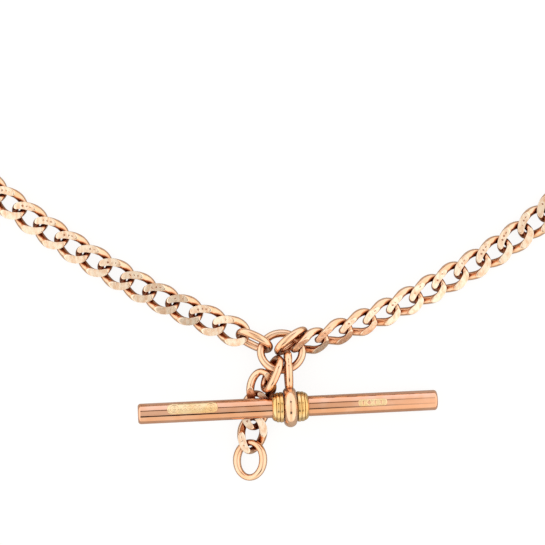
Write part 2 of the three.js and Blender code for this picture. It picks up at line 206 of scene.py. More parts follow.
def stamp_mask(nodes, place, where):
    """Tiny punched shapes on a link's filed face, from the link's own coordinates in mm; how
    much of them is left differs from link to link."""
    split = nodes.add("ShaderNodeSeparateXYZ", {0: place})
    total = None
    cosine, sine = STAMP_SLANT
    for x, y, long, wide in STAMPS:
        dx = nodes.math("SUBTRACT", split.outputs["X"], x)
        dy = nodes.math("SUBTRACT", split.outputs["Y"], y)
        u = nodes.math("MULTIPLY_ADD", dx, cosine, nodes.math("MULTIPLY", dy, sine))
        v = nodes.math("MULTIPLY_ADD", dy, cosine, nodes.math("MULTIPLY", dx, -sine))
        u = nodes.math("DIVIDE", nodes.math("ABSOLUTE", u), long)
        v = nodes.math("DIVIDE", nodes.math("ABSOLUTE", v), wide)
        mark = nodes.fade(nodes.math("ADD", u, v), 1.25, 0.75)
        total = mark if total is None else nodes.math("MAXIMUM", total, mark)
    broken = nodes.fade(nodes.noise(where, 1.9, 2.0), 0.44, 0.54)
    return nodes.math("MULTIPLY", nodes.math("MULTIPLY", total, broken), filed_mask(nodes, split))


def filed_mask(nodes, split):
    """1 on a link's filed upper face, 0 elsewhere."""
    top = FLAT_ABOVE / MM
    return nodes.fade(split.outputs["Z"], top - 0.07, top - 0.03)


def make_gold(name, colour, pale, deep, roughness, filed=False, streaks=(1, 1, 1)):
    """Old polished gold: uneven tint, worn edges, scratches, and brown tarnish with painted shade in the hollows;
    filed links also get painted shade on the wire's inner side and along the filed face's inner edge, and a
    painted highlight on the filed face.
    """
    material = bpy.data.materials.new(name)
    material.use_nodes = True
    nodes = Nodes(material.node_tree)
    where = nodes.add("ShaderNodeTexCoord").outputs["Object"]
    millimetres = nodes.stretched(where, (1000, 1000, 1000))
    tint = nodes.noise(millimetres, 0.35, 2.0)
    cloud = nodes.noise(millimetres, 1.6, 4.0, 0.6)
    grain = nodes.noise(nodes.stretched(millimetres, streaks), 9.0, 3.0, 0.6)
    dents = nodes.noise(nodes.stretched(millimetres, streaks), 1.4, 2.0)

    shade = nodes.mix(nodes.fade(tint, 0.35, 0.68), (*colour, 1), (*pale, 1))
    edge = nodes.add("ShaderNodeNewGeometry").outputs["Pointiness"]
    worn = nodes.math("MULTIPLY", nodes.fade(edge, 0.52, 0.60), 0.4)
    shade = nodes.mix(worn, shade, (*pale, 1))
    dull = nodes.math("MULTIPLY_ADD", cloud, 0.10, roughness - 0.05)
    dull = nodes.math("MULTIPLY_ADD", grain, 0.04, dull)
    height = nodes.math("MULTIPLY_ADD", dents, 1.0, nodes.math("MULTIPLY", grain, 0.06))
    if filed:
        own = nodes.add("ShaderNodeAttribute", attribute_name="link_place").outputs["Vector"]
        face = filed_mask(nodes, nodes.add("ShaderNodeSeparateXYZ", {0: own}))
        reach = nodes.stretched(own, (1 / HALF_OVAL[0], 1 / HALF_OVAL[1], 0))
        reach = nodes.add("ShaderNodeVectorMath", {0: reach}, operation="LENGTH").outputs["Value"]
        # Painted shade: the wire's inner side, towards the link's middle, is darkened.
        inner_shade = nodes.math("MULTIPLY", nodes.fade(reach, 1.0, 0.84), 0.6)
        shade = nodes.mix(inner_shade, shade, LINK_INNER_SHADE)
        # The filed face is mottled at random and painted paler than the wire, a painted highlight.
        speckle = nodes.noise(nodes.stretched(millimetres, (1.6, 0.7, 1)), 1.5, 2.5, 0.5)
        facet_mottle_and_highlight = nodes.mix(nodes.fade(speckle, 0.30, 0.62), FILED_DARK, FILED_PALE_HIGHLIGHT)
        shade = nodes.mix(nodes.math("MULTIPLY", face, 0.9), shade, facet_mottle_and_highlight)
        dull = nodes.math("MULTIPLY_ADD", face, 0.09, dull)
        # Painted shade: a dark band along the inner edge just below the filed face.
        rim = nodes.add("ShaderNodeSeparateXYZ", {0: own}).outputs["Z"]
        top = FLAT_ABOVE / MM
        rim = nodes.math("SUBTRACT", nodes.fade(rim, top - 0.20, top - 0.11), face)
        rim = nodes.math("MULTIPLY", rim, nodes.fade(reach, 1.1, 0.9), clamp=True)
        shade = nodes.mix(nodes.math("MULTIPLY", rim, 0.6), shade, (*deep, 1))
        mark = stamp_mask(nodes, own, millimetres)
        shade = nodes.mix(nodes.math("MULTIPLY", mark, 0.8), shade, (*deep, 1))
        height = nodes.math("SUBTRACT", height, nodes.math("MULTIPLY", mark, 1.2))
        height = nodes.math("MULTIPLY_ADD", nodes.math("MULTIPLY", face, speckle), 1.0, height)
    # Brown in the hollows, found by ambient occlusion: partly tarnish, partly painted shade.
    open_sky = nodes.add("ShaderNodeAmbientOcclusion", {"Distance": 1.3 * MM}, samples=6)
    tarnish_and_shade = nodes.math("MULTIPLY", nodes.fade(open_sky.outputs["AO"], 0.88, 0.38), 0.95)
    shade = nodes.mix(tarnish_and_shade, shade, (*deep, 1))
    bump = nodes.add(
        "ShaderNodeBump", {"Strength": 0.3, "Distance": 0.03 * MM, "Height": height}
    )
    shader = nodes.add(
        "ShaderNodeBsdfPrincipled",
        {"Base Color": shade, "Metallic": 1.0, "Roughness": dull, "Normal": bump.outputs[0]},
    )
    output = nodes.add("ShaderNodeOutputMaterial")
    nodes.tree.links.new(shader.outputs[0], output.inputs["Surface"])
    return material


def make_steel():
    material = bpy.data.materials.new("spring_steel")
    material.use_nodes = True
    nodes = Nodes(material.node_tree)
    where = nodes.add("ShaderNodeTexCoord").outputs["Object"]
    millimetres = nodes.stretched(where, (1000, 1000, 1000))
    streak = nodes.noise(nodes.stretched(millimetres, (1, 6, 1)), 9.0, 4.0, 0.6)
    cloud = nodes.noise(millimetres, 2.0, 3.0)
    shade = nodes.mix(cloud, (0.50, 0.49, 0.48, 1), (0.66, 0.65, 0.64, 1))
    dull = nodes.math("MULTIPLY_ADD", streak, 0.2, 0.2)
    bump = nodes.add("ShaderNodeBump", {"Strength": 0.3, "Distance": 0.02 * MM, "Height": streak})
    shader = nodes.add(
        "ShaderNodeBsdfPrincipled",
        {"Base Color": shade, "Metallic": 1.0, "Roughness": dull, "Normal": bump.outputs[0]},
    )
    output = nodes.add("ShaderNodeOutputMaterial")
    nodes.tree.links.new(shader.outputs[0], output.inputs["Surface"])
    return material


# ---- studio ----
FLOOR_HALF = 3.0
FLOOR_DROP = -0.02 * MM


def make_floor():
    """A pale card, darker where the metal mirrors it than where it is seen."""
    half = FLOOR_HALF
    mesh = bpy.data.meshes.new("floor")
    corners = [(-half, -half), (half, -half), (half, half), (-half, half)]
    mesh.from_pydata([(x, y, FLOOR_DROP) for x, y in corners], [], [(0, 1, 2, 3)])
    floor = bpy.data.objects.new("floor", mesh)
    bpy.context.scene.collection.objects.link(floor)
    material = bpy.data.materials.new("white_card")
    material.use_nodes = True
    nodes = Nodes(material.node_tree)
    seen = nodes.add("ShaderNodeLightPath").outputs["Is Camera Ray"]
    shade = nodes.mix(seen, (0.46, 0.44, 0.42, 1), (0.13, 0.127, 0.124, 1))
    soft = nodes.add("ShaderNodeBsdfDiffuse", {"Color": shade})
    strength = nodes.math("MULTIPLY_ADD", seen, 0.84, 0.06)
    glow = nodes.add("ShaderNodeEmission", {"Color": (1, 0.998, 0.994, 1), "Strength": strength})
    both = nodes.add("ShaderNodeAddShader", {0: soft.outputs[0], 1: glow.outputs[0]})
    output = nodes.add("ShaderNodeOutputMaterial")
    nodes.tree.links.new(both.outputs[0], output.inputs["Surface"])
    mesh.materials.append(material)


# The tent from front to back over the roof: place along the half turn, and colour.
TENT = (
    (0.00, (1.10, 1.00, 0.88)),
    (0.25, (1.05, 0.97, 0.84)),
    (0.389, (1.02, 0.94, 0.80)),
    (0.396, (0.80, 0.70, 0.58)),
    (0.400, (0.02, 0.01, 0.01)),
    (0.432, (0.02, 0.01, 0.01)),
    (0.440, (0.82, 0.78, 0.72)),
    (0.46, (0.76, 0.70, 0.64)),
    (0.50, (0.82, 0.78, 0.74)),
    (0.574, (0.82, 0.75, 0.68)),
    (0.582, (0.15, 0.09, 0.06)),
    (0.602, (0.15, 0.09, 0.06)),
    (0.609, (1.06, 1.06, 1.10)),
    (0.75, (1.24, 1.28, 1.45)),
    (1.00, (1.20, 1.20, 1.22)),
)


def make_world():
    """A white tent: bright sides and a dimmer roof between two dark seams, warmer in front."""
    world = bpy.data.worlds.new("studio")
    bpy.context.scene.world = world
    world.use_nodes = True
    nodes = Nodes(world.node_tree)
    direction = nodes.add("ShaderNodeTexCoord").outputs["Generated"]
    split = nodes.add("ShaderNodeSeparateXYZ", {0: direction})
    slope = nodes.math("ARCTAN2", split.outputs["Y"], split.outputs["Z"])
    slope = nodes.math("MULTIPLY_ADD", slope, 0.5 / math.pi, 0.5)
    ramp = nodes.add("ShaderNodeValToRGB", {"Fac": slope})
    elements = ramp.color_ramp.elements
    while len(elements) < len(TENT):
        elements.new(0.5)
    for element, (position, colour) in zip(elements, TENT):
        element.position = position
        element.color = (*colour, 1)
    across = nodes.math("ABSOLUTE", split.outputs["X"])
    wall = nodes.fade(across, 0.16, 0.42)
    tent = nodes.mix(wall, ramp.outputs[0], (1.3, 1.26, 1.22, 1))
    seen = nodes.add("ShaderNodeLightPath").outputs["Is Camera Ray"]
    colour = nodes.mix(seen, tent, (1, 0.995, 0.985, 1))
    shader = nodes.add("ShaderNodeBackground", {"Color": colour})
    output = nodes.add("ShaderNodeOutputWorld")
    nodes.tree.links.new(shader.outputs[0], output.inputs["Surface"])


# ---- mesh building ----
def mesh_object(name, points, faces, material, attribute=None, smooth_angle=50):
    mesh = bpy.data.meshes.new(name)
    mesh.from_pydata([tuple(p) for p in points], [], faces)
    if attribute is not None:
        data = mesh.attributes.new("link_place", "FLOAT_VECTOR", "POINT").data
        data.foreach_set("vector", np.asarray(attribute, np.float32).ravel())
    work = bmesh.new()
    work.from_mesh(mesh)
    bmesh.ops.recalc_face_normals(work, faces=work.faces)
    work.to_mesh(mesh)
    work.free()
    mesh.shade_smooth()
    mesh.set_sharp_from_angle(angle=math.radians(smooth_angle))
    mesh.materials.append(material)
    return new_object(name, mesh)


def new_object(name, mesh):
    piece = bpy.data.objects.new(name, mesh)
    bpy.context.scene.collection.objects.link(piece)
    return piece


def grid_faces(rings, sides, closed):
    faces = []
    spans = rings if closed else rings - 1
    for i in range(spans):
        here = i * sides
        there = ((i + 1) % rings) * sides
        for j in range(sides):
            following = (j + 1) % sides
            faces.append((here + j, here + following, there + following, there + j))
    if not closed:
        faces.append(tuple(range(sides)))
        faces.append(tuple(range((rings - 1) * sides, rings * sides)))
    return faces


def unit(vectors):
    return vectors / np.linalg.norm(vectors, axis=-1, keepdims=True)


def sweep(centres, ups, radii, sides, closed):
    """Points and faces of a round wire along a row of centres; ups are directions across it."""
    if closed:
        ahead = unit(np.roll(centres, -1, axis=0) - np.roll(centres, 1, axis=0))
    else:
        ahead = unit(np.gradient(centres, axis=0))
    across = unit(np.cross(ups, ahead))
    over = np.cross(ahead, across)
    angles = 2 * np.pi * (np.arange(sides) + 0.5) / sides
    spokes = (
        np.cos(angles)[None, :, None] * across[:, None, :]
        + np.sin(angles)[None, :, None] * over[:, None, :]
    )
    points = centres[:, None, :] + np.reshape(radii, (-1, 1, 1)) * spokes
    return points.reshape(-1, 3), grid_faces(len(centres), sides, closed)


def rounded_ends(centres, radii, steps=6):
    """Adds a half-ball to both ends of an open wire."""
    first = unit(centres[1] - centres[0])
    last = unit(centres[-1] - centres[-2])
    angles = np.linspace(0, np.pi / 2, steps + 1)[1:] * 0.98
    start = [centres[0] - first * radii[0] * math.sin(a) for a in angles[::-1]]
    end = [centres[-1] + last * radii[-1] * math.sin(a) for a in angles]
    start_radii = [radii[0] * math.cos(a) for a in angles[::-1]]
    end_radii = [radii[-1] * math.cos(a) for a in angles]
    return np.vstack([start, centres, end]), np.concatenate([start_radii, radii, end_radii])


def turned(profile, segments=72):
    """Points and faces of a solid of revolution about X, from [x, radius] pairs; a profile
    with both ends on the axis is capped, and one that doesn't touch it closes on itself."""
    on_axis = profile[0][1] == 0
    rows = profile[1:-1] if on_axis else profile
    angles = 2 * np.pi * np.arange(segments) / segments
    points = [
        (x, r * math.cos(a), r * math.sin(a)) for x, r in rows for a in angles
    ]
    faces = grid_faces(len(rows), segments, not on_axis)
    return np.array(points), faces


def signed_power(values, power):
    return np.sign(values) * np.abs(values) ** power


def link_shape(length, width, wire, swell, twist, filed, steps, sides, power=OVAL_POWER):
    """An oval link in its own frame, X along the chain and Z across its flat side."""

    def oval(t):
        x = (length - wire) / 2 * signed_power(np.cos(t), power)
        y = (width - wire - swell) / 2 * signed_power(np.sin(t), power)
        return x, y

    fine = 2 * np.pi * np.arange(4001) / 4000
    x, y = oval(fine)
    far = np.concatenate([[0], np.cumsum(np.hypot(np.diff(x), np.diff(y)))])
    t = np.interp(far[-1] * np.arange(steps) / steps, far, fine)
    x, y = oval(t)
    turn = -twist * signed_power(np.cos(t), TWIST_POWER)
    centres = np.stack([x, y * np.cos(turn), y * np.sin(turn)], axis=1)
    ups = np.stack([0 * t, -np.sin(turn), np.cos(turn)], axis=1)
    points, faces = sweep(centres, ups, (wire + swell * np.sin(t) ** 2) / 2, sides, True)
    if filed:
        height = points[:, 2]
        above = file_down(height, FLAT_ABOVE)
        points[:, 2] = -file_down(-above, FLAT_BELOW)
    return points, faces


def file_down(height, flat):
    """Heights cut off at flat, with a slightly rounded edge."""
    share = np.clip(0.5 + 0.5 * (flat - height) / FLAT_EDGE, 0, 1)
    return flat * (1 - share) + height * share - FLAT_EDGE * share * (1 - share)


def finish_piece(piece, node):
    """Fixes a piece where it lies, flattened where it would dip below the table, on its body."""
    piece.data = piece.data.copy()
    piece.data.transform(piece.matrix_world)
    piece.matrix_world = Matrix.Identity(4)
    for vertex in piece.data.vertices:
        vertex.co.z = max(vertex.co.z, TABLE)
    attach(piece, BODY_OF[node])
    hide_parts(node)


# ---- links ----
def make_links(gold, stamped_gold):
    curb_points, curb_faces = link_shape(
        LINK_LENGTH, LINK_WIDTH, WIRE, SWELL, END_TWIST, True, steps=120, sides=40
    )
    plain_points, plain_faces = link_shape(
        LINK_LENGTH, LINK_WIDTH, WIRE, SWELL, 0, False, steps=96, sides=24
    )
    curb = mesh_object("curb", curb_points, curb_faces, stamped_gold, curb_points / MM)
    plain = mesh_object("plain", plain_points, plain_faces, gold, plain_points / MM)
    curb_nodes = [n for n in sorted(frame["nodes"]) if "_link_" in n and n[-1].isdigit()]
    plain_nodes = ["left_connector_link", "t_bar_jump_link", "drop_link_01"]
    for node in sorted(set(curb_nodes + plain_nodes)):
        pattern = plain if node in plain_nodes else curb
        piece = new_object(f"fine_{node}", pattern.data)
        piece.matrix_world = loop_place(node)
        finish_piece(piece, node)
    for pattern in (curb, plain):
        bpy.data.objects.remove(pattern)


def make_rings(gold):
    """The two closed rings, sized from their own nodes: wire, swell and how square the oval is."""
    rings = {"centre_ring": (1.13 * MM, 0, 1), "drop_end_ring": (WIRE, SWELL, 1)}
    for node, (wire, swell, power) in rings.items():
        place = loop_place(node)
        local = node_points(node) @ np.array(place.to_3x3())
        span = local.max(axis=0) - local.min(axis=0)
        points, faces = link_shape(
            span[0], span[1], wire, swell, 0, False, steps=128, sides=32, power=power
        )
        piece = mesh_object(f"fine_{node}", points, faces, gold, points / MM)
        piece.matrix_world = place
        finish_piece(piece, node)


# ---- outer runs ----
def smooth_path(knots, samples=60):
    """A smooth curve through the knots, as closely spaced points."""
    knots = np.array(knots)
    slopes = np.gradient(knots, axis=0)
    points = []
    for i in range(len(knots) - 1):
        for s in np.arange(samples) / samples:
            h = (2 * s**3 - 3 * s**2 + 1, s**3 - 2 * s**2 + s, -2 * s**3 + 3 * s**2, s**3 - s**2)
            point = h[0] * knots[i] + h[1] * slopes[i] + h[2] * knots[i + 1] + h[3] * slopes[i + 1]
            points.append(point)
    points.append(knots[-1])
    return np.array(points)


def make_runs(side, gold):
    """Six real links in place of each plain strip, evenly spaced from the last single link."""
    last_place = loop_place(f"{side}_link_12")
    turns = ["sway" if i % 2 else "nod" for i in range(1, RUNS + 1)]
    starts = [
        joint_point(f"{side}_chain_run_{i:02d}_{turn}") for i, turn in enumerate(turns, start=1)
    ]
    knots = [last_place.translation] + starts + [joint_point(f"{side}_clasp_eye_nod")]
    path = smooth_path([(k.x, k.y) for k in knots])
    lengths = np.concatenate([[0], np.cumsum(np.linalg.norm(np.diff(path, axis=0), axis=1))])
    count = LINKS_IN_RUN * RUNS
    pitch = lengths[-1] / (count + 0.5)
    points, faces = link_shape(
        LINK_LENGTH, LINK_WIDTH, WIRE, SWELL, END_TWIST, True, steps=80, sides=24
    )
    first_roll = math.asin(max(-1, min(1, last_place.to_3x3().col[1].z)))
    for run in range(RUNS):
        run_points, run_places, run_faces = [], [], []
        for k in range(LINKS_IN_RUN):
            index = run * LINKS_IN_RUN + k + 1
            middle, ahead = along(path, lengths, index * pitch)
            roll = first_roll * max(0, 1 - index / 4)
            heading = Matrix.Rotation(math.atan2(ahead[1], ahead[0]), 3, "Z")
            place = heading @ Matrix.Rotation(roll, 3, "X")
            moved = points @ np.array(place).T
            moved += (middle[0], middle[1], -moved[:, 2].min())
            offset = len(run_points) * len(points)
            run_faces += [tuple(v + offset for v in face) for face in faces]
            run_points.append(moved)
            run_places.append(points / MM)
        node = f"{side}_chain_run_{run + 1:02d}"
        piece = mesh_object(
            f"fine_{node}", np.vstack(run_points), run_faces, gold, np.vstack(run_places)
        )
        finish_piece(piece, node)


def along(path, lengths, distance):
    i = min(np.searchsorted(lengths, distance) - 1, len(path) - 2)
    share = (distance - lengths[i]) / (lengths[i + 1] - lengths[i])
    return path[i] + (path[i + 1] - path[i]) * share, unit(path[i + 1] - path[i])


# ---- T-bar ----
BAR_RADIUS = 1.45 * MM
BAND_WIDTH = 1.7 * MM
BAND_RADIUS = 2.9 * MM
COLLAR_GAP = 0.12 * MM
# A collar's steps from the band outwards: width, then radius at the inner and outer side, in mm.
COLLAR_STEPS = ((0.55, 2.16, 2.17), (0.50, 2.13, 2.10), (0.57, 2.02, 1.66))
BAIL_WIRE = 1.12 * MM
NECK_FROM_END = 1.25 * MM  # the bail narrows by a share here, which leaves a knob at its far end
NECK_SPREAD = 0.28 * MM
NECK_SHARE = 0.17


def t_bar_place():
    x_axis = joint_axis("t_bar_spin")
    y_axis = Vector((0, 0, 1)).cross(x_axis).normalized()
    return place_matrix(joint_point("t_bar_spin"), x_axis, x_axis.cross(y_axis))


def own_points(node, place):
    inverse = np.array(place.inverted())
    return node_points(node) @ inverse[:3, :3].T + inverse[:3, 3]


def arc(centre, radius, start, end, steps):
    angles = np.radians(np.linspace(start, end, steps + 1))
    return [(centre[0] + radius * math.cos(a), centre[1] + radius * math.sin(a)) for a in angles]


def make_rod(place, gold):
    local = own_points("t_bar_rod", place)
    left, right = local[:, 0].min(), local[:, 0].max()
    edge = 0.42 * MM
    dimple = 0.1 * MM
    profile = [(left + dimple, 0), (left + dimple, 0.25 * BAR_RADIUS)]
    profile += [(left, BAR_RADIUS - edge * 1.4)]
    profile += arc((left + edge, BAR_RADIUS - edge), edge, 180, 90, 8)
    profile += arc((right - edge, BAR_RADIUS - edge), edge, 90, 0, 8)
    profile += [(right, BAR_RADIUS - edge * 1.4)]
    profile += [(right - dimple, 0.25 * BAR_RADIUS), (right - dimple, 0)]
    points, faces = turned(profile, 96)
    rod = mesh_object("fine_t_bar_rod", points, faces, gold)
    rod.matrix_world = place
    finish_piece(rod, "t_bar_rod")


def make_collars(place, gold):
    """Collars in three rounded steps, the outermost curving down to the rod."""
    bore = BAR_RADIUS + 0.02 * MM
    for side, direction in (("left", -1), ("right", 1)):
        start = BAND_WIDTH / 2 + COLLAR_GAP
        profile = [(start, bore)]
        for width, inner, outer in COLLAR_STEPS:
            for share in np.linspace(0, 1, 13):
                crest = inner + (outer - inner) * share**1.6
                dome = 0.09 * abs(2 * share - 1) ** 5
                x = start + width * (0.03 + 0.94 * share) * MM
                profile.append((x, (crest - dome) * MM))
            start += width * MM
            profile.append((start, (outer - 0.14) * MM))
        profile[-1] = (start, bore + 0.05 * MM)
        profile.append((start, bore))
        points, faces = turned([(direction * x, r) for x, r in profile], 96)
        node = f"t_bar_{side}_collar"
        collar = mesh_object(f"fine_{node}", points, faces, gold, smooth_angle=40)
        collar.matrix_world = place
        finish_piece(collar, node)


def plate_relief(u, v, marks):
    """How far a plate's face is punched in at (u, v), from 0 to 1, by its plain marks."""
    depth = np.zeros_like(u)
    for kind, middle in marks:
        x = np.abs(u - middle)
        y = np.abs(v)
        if kind == "ring":
            edge = 0.10 - np.abs(np.hypot(x, y) - 0.60)
            depth = np.maximum(depth, np.clip(edge / 0.08, 0, 1))
            edge = 0.09 - np.abs(np.hypot(x, y) - 0.24)
            depth = np.maximum(depth, np.clip(edge / 0.08, 0, 1))
        elif kind == "scallop":
            edge = 0.09 - np.abs(np.hypot(x / 0.8, y + 0.1) - 0.42)
            depth = np.maximum(depth, np.clip(edge / 0.08, 0, 1) * (v > -0.35))
        elif kind == "lozenge":
            depth = np.maximum(depth, np.clip((0.42 - x - y) / 0.1, 0, 1))
        else:
            depth = np.maximum(depth, np.clip(np.minimum(0.16 - x, 0.3 - y) / 0.08, 0, 1))
    return depth


def make_plates(place, gold):
    """Two thin yellow-gold plates let into the rod's upper side, with plain punched marks."""
    left = [("ring", -2.55), ("ring", 2.6)]
    left += [("scallop", 0.68 * k) for k in (-1.5, -0.5, 0.5, 1.5)]
    right = [("bar", -1.35), ("lozenge", -0.5), ("bar", 0.35), ("bar", 1.2)]
    for name, middle, lean, length, width, marks in (
        ("left", -13.9, 26, 7.1, 1.6, left),
        ("right", 11.7, 8, 4.1, 1.0, right),
    ):
        columns, rows = 150, 34
        corner = 0.4 * width
        u = np.linspace(-length / 2, length / 2, columns)
        inset = np.clip(np.abs(u) - (length / 2 - corner), 0, corner)
        half = width / 2 - corner + np.sqrt(corner**2 - inset**2)
        v = half[:, None] * np.linspace(-1, 1, rows)[None, :]
        u = np.repeat(u[:, None], rows, axis=1)
        rim = np.minimum(length / 2 - np.abs(u), half[:, None] - np.abs(v))
        rise = 0.045 * np.sqrt(np.clip(rim / 0.12, 0, 1)) - 0.06 * plate_relief(u, v, marks)
        outer = BAR_RADIUS / MM + rise
        angle = v / (BAR_RADIUS / MM) + math.radians(lean)
        top = np.stack([u + middle, outer * np.sin(angle), outer * np.cos(angle)], axis=-1)
        sunk = BAR_RADIUS / MM - 0.08
        base = np.stack([u + middle, sunk * np.sin(angle), sunk * np.cos(angle)], axis=-1)
        sheets = np.concatenate([top[:, :, None], base[:, ::-1, None]], axis=1).reshape(-1, 3)
        faces = grid_faces(columns, 2 * rows, False)
        plate = mesh_object(f"fine_t_bar_{name}_plate", sheets * MM, faces, gold, smooth_angle=60)
        plate.matrix_world = place
        finish_piece(plate, "t_bar_rod")


def make_band(place, gold):
    """The swivel band and its bail, one soldered piece."""
    local = own_points("t_bar_swivel_bail", place)
    far_end = local[local[:, 1] > 2 * BAND_RADIUS].mean(axis=0)
    place = place @ Matrix.Rotation(math.atan2(far_end[2], far_end[1]), 4, "X")
    local = own_points("t_bar_swivel_bail", place)
    reach = local[:, 1].max() - BAIL_WIRE / 2
    half_height = np.abs(local[local[:, 1] > BAND_RADIUS * 1.1][:, 2]).max() - BAIL_WIRE / 2
    bore = BAR_RADIUS + 0.06 * MM
    half = BAND_WIDTH / 2
    crown = 0.98 * MM
    profile = [(-half, bore), (-half, BAND_RADIUS - 0.5 * MM)]
    for step in range(1, 12):
        x = -half + 2 * half * step / 12
        profile.append((x, BAND_RADIUS - crown + math.sqrt(crown**2 - x**2)))
    profile += [(half, BAND_RADIUS - 0.5 * MM), (half, bore)]
    band_points, band_faces = turned(profile, 96)
    band = mesh_object("band", band_points, band_faces, gold)
    steps = 96
    t = 2 * np.pi * np.arange(steps) / steps
    near = BAND_RADIUS - 0.25 * MM
    y = (near + reach) / 2 + (reach - near) / 2 * np.cos(t)
    centres = np.stack([0 * t, y, half_height * np.sin(t)], axis=1)
    ups = np.tile([1.0, 0, 0], (steps, 1))
    from_end = reach - y
    neck = np.exp(-(((from_end - NECK_FROM_END) / NECK_SPREAD) ** 2))
    radii = BAIL_WIRE / 2 * (1 - NECK_SHARE * neck)
    loop_points, loop_faces = sweep(centres, ups, radii, 28, True)
    loop = mesh_object("loop", loop_points, loop_faces, gold)
    through = [(-2 * half, 0), (-2 * half, bore), (2 * half, bore), (2 * half, 0)]
    hole_points, hole_faces = turned(through, 96)
    hole = mesh_object("hole", hole_points, hole_faces, gold)
    combine(band, loop, "UNION")
    combine(band, hole, "DIFFERENCE")
    band.name = "fine_t_bar_swivel_bail"
    band.data.shade_smooth()
    band.data.set_sharp_from_angle(angle=math.radians(35))
    band.matrix_world = place
    finish_piece(band, "t_bar_swivel_bail")


def combine(base, tool, operation):
    """Joins or cuts base by tool, and removes the tool."""
    modifier = base.modifiers.new("combine", "BOOLEAN")
    modifier.operation = operation
    modifier.solver = "EXACT"
    modifier.object = tool
    bpy.context.view_layer.update()
    evaluated = base.evaluated_get(bpy.context.evaluated_depsgraph_get())
    mesh = bpy.data.meshes.new_from_object(evaluated)
    base.modifiers.clear()
    base.data = mesh
    bpy.data.objects.remove(tool)


# ---- clasps ----
EYE_MIDDLE = 1.2  # along the clasp, in mm like all the clasp's dimensions
EYE_RADIUS = 1.8
EYE_WIRE = 0.98
STEM_RADIUS = 0.6
BORE_RADIUS = 0.68
HEAD_START = 3.9
HEAD_END = 7.9
HOOK_REACH = 3.0
HOOK_TOP = 13.5
HOOK_WIRE = (0.70, 0.55)  # its radius at the head and at the tip
LUG_MIDDLE = (7.0, -1.86, 0)
PIN_RADIUS = 0.26
PIN_CLEARANCE = 0.08
SPRING_Y = -1.84
# The thumb knob's height and radius, from one end to the other.
KNOB = ((-0.62, 0.3), (-0.3, 0.3), (-0.18, 0.6), (0.12, 0.66), (0.4, 0.5), (0.56, 0.2))


def round_wire(knots, first_radius, last_radius, sides=24, samples=24):
    """A tapering wire with rounded ends through the knots."""
    centres = smooth_path(knots, samples)
    radii = np.linspace(first_radius, last_radius, len(centres))
    centres, radii = rounded_ends(centres, radii)
    ups = np.tile([0.0, 0, 1], (len(centres), 1))
    return sweep(centres, ups, radii, sides, False)


def pin_shape(radius, half, edge, segments=48):
    """A short cylinder along Z with rounded rims."""
    profile = [(-half, 0), (-half, radius - edge)]
    profile += arc((-half + edge, radius - edge), edge, 180, 90, 5)
    profile += arc((half - edge, radius - edge), edge, 90, 0, 5)
    profile += [(half, radius - edge), (half, 0)]
    points, faces = turned(profile, segments)
    return points[:, [2, 1, 0]], faces


def solid(name, shape, material, shift=(0, 0, 0)):
    points, faces = shape
    return mesh_object(name, points + np.array(shift), faces, material, smooth_angle=35)


def block(size, middle):
    x, y, z = (0.5 * s for s in size)
    corners = [(i * x, j * y, k * z) for i in (-1, 1) for j in (-1, 1) for k in (-1, 1)]
    faces = [(0, 1, 3, 2), (4, 6, 7, 5), (0, 4, 5, 1), (2, 3, 7, 6), (0, 2, 6, 4), (1, 5, 7, 3)]
    return np.array(corners) + np.array(middle), faces


def clasp_eye(gold):
    t = 2 * np.pi * np.arange(96) / 96
    lean = math.sqrt(0.5)
    x = EYE_MIDDLE + EYE_RADIUS * np.cos(t)
    y = EYE_RADIUS * np.sin(t)
    centres = np.stack([x, y * lean, y * lean], axis=1)
    ups = np.tile([0.0, -lean, lean], (96, 1))
    piece = solid("eye", sweep(centres, ups, np.full(96, 0.5 * EYE_WIRE - 0.01), 28, True), gold)
    start = EYE_MIDDLE + EYE_RADIUS
    button = STEM_RADIUS + 0.42
    profile = [(start, 0), (start, 0.58), (start + 0.45, 0.62)]
    profile += [(start + 0.55, 0.80), (start + 0.70, 0.80), (start + 0.78, STEM_RADIUS - 0.02)]
    profile += [(HEAD_END + 0.2, STEM_RADIUS - 0.02), (HEAD_END + 0.22, button)]
    profile += arc((HEAD_END + 0.5, button - 0.35), 0.35, 90, 10, 8)
    profile += [(HEAD_END + 0.88, 0)]
    combine(piece, solid("stem", turned(profile, 48), gold), "UNION")
    return piece


